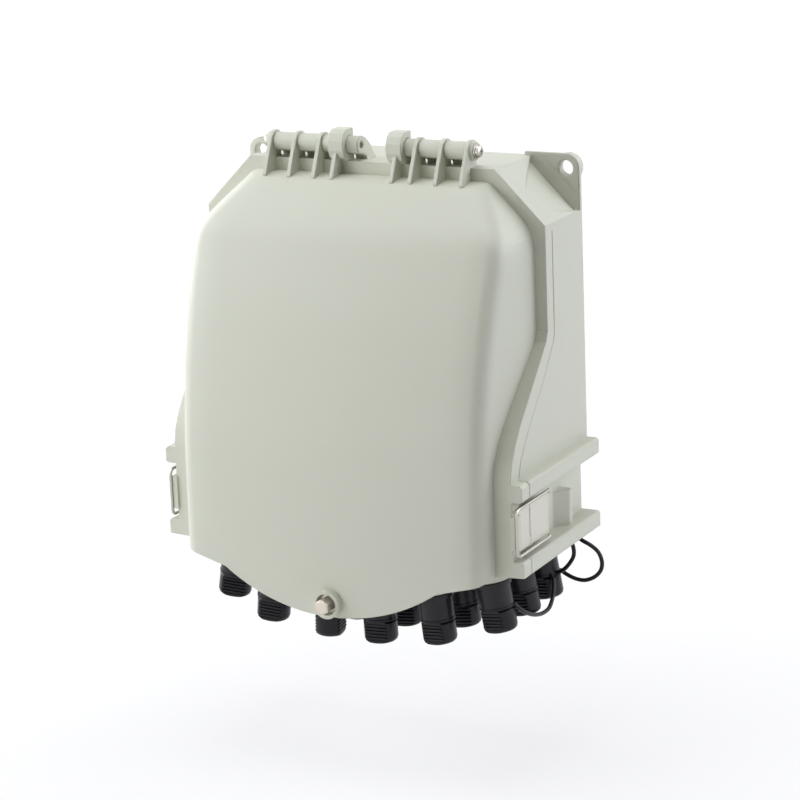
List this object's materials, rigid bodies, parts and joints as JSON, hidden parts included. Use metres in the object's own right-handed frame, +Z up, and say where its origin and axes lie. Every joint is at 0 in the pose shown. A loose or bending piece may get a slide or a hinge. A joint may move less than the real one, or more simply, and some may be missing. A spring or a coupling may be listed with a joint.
{
  "type": "fiber termination box",
  "caption": "Wall-mounted outdoor fibre termination box with a bulged top-hinged lid, wire side latches, a lock bolt and rows of capped drop-cable ports underneath.",
  "frame": {"origin": "midway between the two ear holes, on the wall plane", "axes": "+X to the right seen from the front, +Y into the wall, +Z up"},
  "size_m": [0.2912, 0.1629, 0.3541],
  "materials": {
    "case": "light grey moulded plastic, fine matte grain",
    "rubber": "matte black rubber",
    "steel": "satin stainless steel",
    "brass": "turned brass",
    "black": "black moulded plastic",
    "cap": "black soft moulded plastic, satin",
    "green": "green moulded plastic",
    "white": "white moulded plastic",
    "clear": "clear tinted sheet",
    "blue": "blue heat-shrink sleeve"
  },
  "bodies": {
    "base": {"base": "case", "hinge_screws": "steel", "hinge_washers": "steel", "latch_brackets": "steel", "latch_pins": "steel", "bolt_insert": "brass", "port_bodies": "black", "port_seals": "rubber", "port_nuts": "black", "tether_rings": "cap", "connectors": "green", "gland_bodies": "black", "gland_nuts": "black", "gland_plugs": "rubber", "splitter": "white", "splitter_screws": "steel", "tray_pins": "steel", "tether_a": "cap", "tether_b": "cap", "tether_c": "cap"},
    "lid": {"lid": "case", "gasket": "rubber"},
    "lever_left": {"lever_left": "steel"},
    "lever_right": {"lever_right": "steel"},
    "bail_left": {"bail_left": "steel"},
    "bail_right": {"bail_right": "steel"},
    "lock_bolt": {"lock_bolt": "steel", "bolt_washer": "steel"},
    "tray": {"splice_tray": "white", "tray_cover": "clear", "splice_sleeves": "blue"},
    "cap_01": {"cap_01": "cap"},
    "cap_02": {"cap_02": "cap"},
    "cap_03": {"cap_03": "cap"},
    "cap_04": {"cap_04": "cap"},
    "cap_05": {"cap_05": "cap"},
    "cap_06": {"cap_06": "cap"},
    "cap_07": {"cap_07": "cap"},
    "cap_08": {"cap_08": "cap"},
    "cap_09": {"cap_09": "cap"},
    "cap_10": {"cap_10": "cap"},
    "cap_11": {"cap_11": "cap"},
    "cap_12": {"cap_12": "cap"},
    "cap_13": {"cap_13": "cap"},
    "cap_14": {"cap_14": "cap"},
    "cap_15": {"cap_15": "cap"},
    "cap_16": {"cap_16": "cap"}
  },
  "joints": [
    {"name": "lid_hinge", "type": "hinge", "parent": "base", "child": "lid", "pos_m": [0, -0.0625, 0.0195], "axis": [-1, 0, 0], "range_deg": [0, 110]},
    {"name": "lever_right_turn", "type": "hinge", "parent": "base", "child": "lever_right", "pos_m": [0.1342, -0.106, -0.227], "axis": [0, 0, -1], "range_deg": [0, 110]},
    {"name": "lever_left_turn", "type": "hinge", "parent": "base", "child": "lever_left", "pos_m": [-0.1342, -0.106, -0.227], "axis": [0, 0, 1], "range_deg": [0, 110]},
    {"name": "bail_right_turn", "type": "hinge", "parent": "lid", "child": "bail_right", "pos_m": [0.13712, -0.13192, -0.227], "axis": [0, 0, -1], "range_deg": [0, 90]},
    {"name": "bail_left_turn", "type": "hinge", "parent": "lid", "child": "bail_left", "pos_m": [-0.13712, -0.13192, -0.227], "axis": [0, 0, 1], "range_deg": [0, 90]},
    {"name": "lock_bolt_draw", "type": "slide", "parent": "lid", "child": "lock_bolt", "axis": [0, -1, 0], "range_m": [0, 0.009]},
    {"name": "tray_swing", "type": "hinge", "parent": "base", "child": "tray", "pos_m": [0, -0.036, -0.128], "axis": [1, 0, 0], "range_deg": [0, 50]},
    {"name": "cap_01_turn", "type": "hinge", "parent": "base", "child": "cap_01", "pos_m": [-0.1015, -0.101, -0.2721], "axis": [0.1781, 0, 0.984], "range_deg": [0, 90]},
    {"name": "cap_02_turn", "type": "hinge", "parent": "base", "child": "cap_02", "pos_m": [-0.0635, -0.115, -0.28093], "axis": [0.1114, 0, 0.9938], "range_deg": [0, 90]},
    {"name": "cap_03_turn", "type": "hinge", "parent": "base", "child": "cap_03", "pos_m": [-0.0193, -0.115, -0.28599], "axis": [0.0339, 0, 0.9994], "range_deg": [0, 90]},
    {"name": "cap_04_turn", "type": "hinge", "parent": "base", "child": "cap_04", "pos_m": [0.0193, -0.115, -0.28599], "axis": [-0.0339, 0, 0.9994], "range_deg": [0, 90]},
    {"name": "cap_05_turn", "type": "hinge", "parent": "base", "child": "cap_05", "pos_m": [0.0635, -0.115, -0.28093], "axis": [-0.1114, 0, 0.9938], "range_deg": [0, 90]},
    {"name": "cap_06_turn", "type": "hinge", "parent": "base", "child": "cap_06", "pos_m": [0.1015, -0.101, -0.2721], "axis": [-0.1781, 0, 0.984], "range_deg": [0, 90]},
    {"name": "cap_07_turn", "type": "hinge", "parent": "base", "child": "cap_07", "pos_m": [-0.1015, -0.063, -0.2721], "axis": [0.1781, 0, 0.984], "range_deg": [0, 90]},
    {"name": "cap_08_turn", "type": "hinge", "parent": "base", "child": "cap_08", "pos_m": [-0.0635, -0.077, -0.28093], "axis": [0.1114, 0, 0.9938], "range_deg": [0, 90]},
    {"name": "cap_09_turn", "type": "hinge", "parent": "base", "child": "cap_09", "pos_m": [-0.0193, -0.077, -0.28599], "axis": [0.0339, 0, 0.9994], "range_deg": [0, 90]},
    {"name": "cap_10_turn", "type": "hinge", "parent": "base", "child": "cap_10", "pos_m": [0.0193, -0.077, -0.28599], "axis": [-0.0339, 0, 0.9994], "range_deg": [0, 90]},
    {"name": "cap_11_turn", "type": "hinge", "parent": "base", "child": "cap_11", "pos_m": [0.0635, -0.077, -0.28093], "axis": [-0.1114, 0, 0.9938], "range_deg": [0, 90]},
    {"name": "cap_12_turn", "type": "hinge", "parent": "base", "child": "cap_12", "pos_m": [0.1015, -0.063, -0.2721], "axis": [-0.1781, 0, 0.984], "range_deg": [0, 90]},
    {"name": "cap_13_turn", "type": "hinge", "parent": "base", "child": "cap_13", "pos_m": [-0.1015, -0.025, -0.2721], "axis": [0.1781, 0, 0.984], "range_deg": [0, 90]},
    {"name": "cap_14_turn", "type": "hinge", "parent": "base", "child": "cap_14", "pos_m": [-0.0635, -0.039, -0.28093], "axis": [0.1114, 0, 0.9938], "range_deg": [0, 90]},
    {"name": "cap_15_turn", "type": "hinge", "parent": "base", "child": "cap_15", "pos_m": [0.0635, -0.039, -0.28093], "axis": [-0.1114, 0, 0.9938], "range_deg": [0, 90]},
    {"name": "cap_16_turn", "type": "hinge", "parent": "base", "child": "cap_16", "pos_m": [0.1015, -0.025, -0.2721], "axis": [-0.1781, 0, 0.984], "range_deg": [0, 90]}
  ]
}
